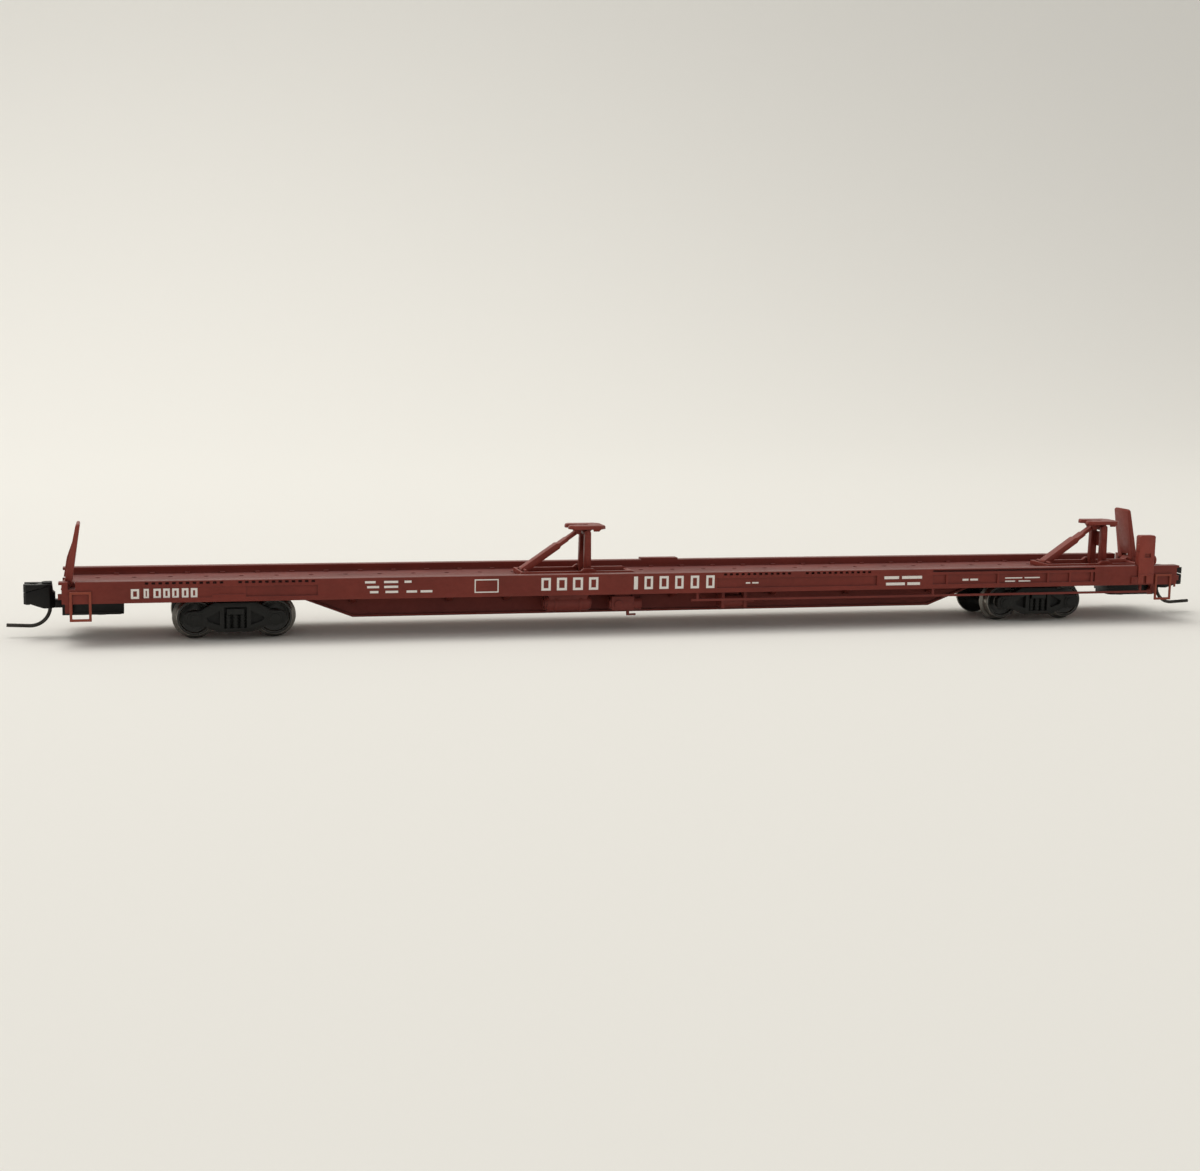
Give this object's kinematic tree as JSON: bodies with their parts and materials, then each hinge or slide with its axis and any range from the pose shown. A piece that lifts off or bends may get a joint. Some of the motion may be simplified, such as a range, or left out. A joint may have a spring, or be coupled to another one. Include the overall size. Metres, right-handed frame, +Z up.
{
  "type": "model flat car",
  "caption": "Scale model railway flat car for trailers: slotted side sills, fishbelly underframe, swivelling trucks, knuckle couplers, folding trailer hitches and hinged bridge plates.",
  "frame": {"origin": "on the surface the wheel flanges stand on, below the centre of the car", "axes": "+X along the car towards the end with the brake stand, +Y across it, +Z up; the brake stand is on the -Y side"},
  "size_m": [0.1856, 0.018, 0.0166],
  "materials": {
    "body_red": "boxcar red, satin",
    "underframe_red": "boxcar red, in shade",
    "fitting_red": "boxcar red, satin",
    "trim_red": "orange red, satin",
    "truck_black": "acetal, low gloss",
    "axle_black": "acetal, low gloss",
    "coupler_black": "acetal, low gloss",
    "wheel_metal": "turned, slightly darkened",
    "ballast_steel": "sawn bar",
    "bright_steel": "plain",
    "trip_wire": "blackened"
  },
  "bodies": {
    "car": {"air_reservoir": "underframe_red", "ballast_weight": "ballast_steel", "body_casting": "body_red", "brake_cylinder": "underframe_red", "brake_rod": "underframe_red", "brake_stand": "fitting_red", "brake_wheel": "fitting_red", "bridge_brackets": "fitting_red", "bridge_pins": "fitting_red", "center_sill": "underframe_red", "control_valve": "underframe_red", "coupler_spring_left": "bright_steel", "coupler_spring_right": "bright_steel", "draft_box_left": "coupler_black", "draft_box_right": "coupler_black", "draft_lid_left": "coupler_black", "draft_lid_right": "coupler_black", "draft_screws": "bright_steel", "hitch_base_pins": "fitting_red", "hitch_track_end": "fitting_red", "hitch_track_mid": "fitting_red", "kingpins": "bright_steel", "step_left_a": "trim_red", "step_left_b": "trim_red", "step_right_a": "trim_red", "step_right_b": "trim_red", "uncoupling_lever_left": "trim_red", "uncoupling_lever_right": "trim_red"},
    "truck_left": {"truck_frame_left": "truck_black"},
    "wheelset_left_outer": {"axle_left_outer": "axle_black", "wheel_left_outer_a": "wheel_metal", "wheel_left_outer_b": "wheel_metal"},
    "wheelset_left_inner": {"axle_left_inner": "axle_black", "wheel_left_inner_a": "wheel_metal", "wheel_left_inner_b": "wheel_metal"},
    "coupler_left": {"coupler_shank_left": "coupler_black", "trip_pin_left": "trip_wire"},
    "knuckle_left": {"coupler_knuckle_left": "coupler_black"},
    "bridge_left": {"bridge_plate_left": "fitting_red"},
    "truck_right": {"truck_frame_right": "truck_black"},
    "wheelset_right_outer": {"axle_right_outer": "axle_black", "wheel_right_outer_a": "wheel_metal", "wheel_right_outer_b": "wheel_metal"},
    "wheelset_right_inner": {"axle_right_inner": "axle_black", "wheel_right_inner_a": "wheel_metal", "wheel_right_inner_b": "wheel_metal"},
    "coupler_right": {"coupler_shank_right": "coupler_black", "trip_pin_right": "trip_wire"},
    "knuckle_right": {"coupler_knuckle_right": "coupler_black"},
    "bridge_right": {"bridge_plate_right": "fitting_red"},
    "hitch_post_mid": {"hitch_post_mid": "fitting_red", "hitch_head_pin_mid": "fitting_red"},
    "hitch_head_mid": {"hitch_head_mid": "fitting_red", "hitch_strut_pin_mid": "fitting_red"},
    "hitch_strut_mid": {"hitch_strut_mid": "fitting_red"},
    "hitch_post_end": {"hitch_post_end": "fitting_red", "hitch_head_pin_end": "fitting_red"},
    "hitch_head_end": {"hitch_head_end": "fitting_red", "hitch_strut_pin_end": "fitting_red"},
    "hitch_strut_end": {"hitch_strut_end": "fitting_red"}
  },
  "joints": [
    {"name": "truck_swivel_left", "type": "hinge", "parent": "car", "child": "truck_left", "pos_m": [-0.0618, 0, 0.0055], "axis": [0, 0, 1], "range_deg": [-10, 10]},
    {"name": "wheelset_spin_left_outer", "type": "hinge", "parent": "truck_left", "child": "wheelset_left_outer", "pos_m": [-0.0673, 0, 0.00311], "axis": [0, 1, 0], "continuous": true},
    {"name": "wheelset_spin_left_inner", "type": "hinge", "parent": "truck_left", "child": "wheelset_left_inner", "pos_m": [-0.0563, 0, 0.00311], "axis": [0, 1, 0], "continuous": true},
    {"name": "coupler_swing_left", "type": "hinge", "parent": "car", "child": "coupler_left", "pos_m": [-0.08, 0, 0.0047], "axis": [0, 0, 1], "range_deg": [-8, 8], "stiffness_Nm_per_rad": 0.0002},
    {"name": "knuckle_open_left", "type": "hinge", "parent": "coupler_left", "child": "knuckle_left", "pos_m": [-0.08715, 0, 0.007], "axis": [0, 0, 1], "range_deg": [0, 10], "stiffness_Nm_per_rad": 0.0001},
    {"name": "bridge_drop_left", "type": "hinge", "parent": "car", "child": "bridge_left", "pos_m": [-0.0842, -0.0049, 0.00845], "axis": [0, -1, 0], "range_deg": [0, 100]},
    {"name": "truck_swivel_right", "type": "hinge", "parent": "car", "child": "truck_right", "pos_m": [0.0618, 0, 0.0055], "axis": [0, 0, 1], "range_deg": [-10, 10]},
    {"name": "wheelset_spin_right_outer", "type": "hinge", "parent": "truck_right", "child": "wheelset_right_outer", "pos_m": [0.0673, 0, 0.00311], "axis": [0, 1, 0], "continuous": true},
    {"name": "wheelset_spin_right_inner", "type": "hinge", "parent": "truck_right", "child": "wheelset_right_inner", "pos_m": [0.0563, 0, 0.00311], "axis": [0, 1, 0], "continuous": true},
    {"name": "coupler_swing_right", "type": "hinge", "parent": "car", "child": "coupler_right", "pos_m": [0.08, 0, 0.0047], "axis": [0, 0, 1], "range_deg": [-8, 8], "stiffness_Nm_per_rad": 0.0002},
    {"name": "knuckle_open_right", "type": "hinge", "parent": "coupler_right", "child": "knuckle_right", "pos_m": [0.08715, 0, 0.007], "axis": [0, 0, 1], "range_deg": [0, 10], "stiffness_Nm_per_rad": 0.0001},
    {"name": "bridge_drop_right", "type": "hinge", "parent": "car", "child": "bridge_right", "pos_m": [0.0842, 0.0049, 0.00845], "axis": [0, 1, 0], "range_deg": [0, 100]},
    {"name": "hitch_fold_mid", "type": "hinge", "parent": "car", "child": "hitch_post_mid", "pos_m": [-0.00988, 0, 0.0083], "axis": [0, 1, 0], "range_deg": [0, 86]},
    {"name": "hitch_head_level_mid", "type": "hinge", "parent": "hitch_post_mid", "child": "hitch_head_mid", "pos_m": [-0.00988, 0, 0.0141], "axis": [0, 1, 0], "range_deg": [-87, 1]},
    {"name": "hitch_strut_swing_mid", "type": "hinge", "parent": "hitch_head_mid", "child": "hitch_strut_mid", "pos_m": [-0.01108, 0, 0.0142], "axis": [0, 1, 0], "range_deg": [-1, 34.1]},
    {"name": "hitch_fold_end", "type": "hinge", "parent": "car", "child": "hitch_post_end", "pos_m": [0.07573, 0, 0.0083], "axis": [0, 1, 0], "range_deg": [0, 86]},
    {"name": "hitch_head_level_end", "type": "hinge", "parent": "hitch_post_end", "child": "hitch_head_end", "pos_m": [0.07573, 0, 0.0141], "axis": [0, 1, 0], "range_deg": [-87, 1]},
    {"name": "hitch_strut_swing_end", "type": "hinge", "parent": "hitch_head_end", "child": "hitch_strut_end", "pos_m": [0.07453, 0, 0.0142], "axis": [0, 1, 0], "range_deg": [-1, 34.1]}
  ],
  "couplings": [
    {"joint": "hitch_head_level_mid", "follows": "hitch_fold_mid", "ratio": -1},
    {"joint": "hitch_strut_swing_mid", "follows": "hitch_fold_mid", "ratio": 0.3849},
    {"joint": "hitch_head_level_end", "follows": "hitch_fold_end", "ratio": -1},
    {"joint": "hitch_strut_swing_end", "follows": "hitch_fold_end", "ratio": 0.3849}
  ]
}
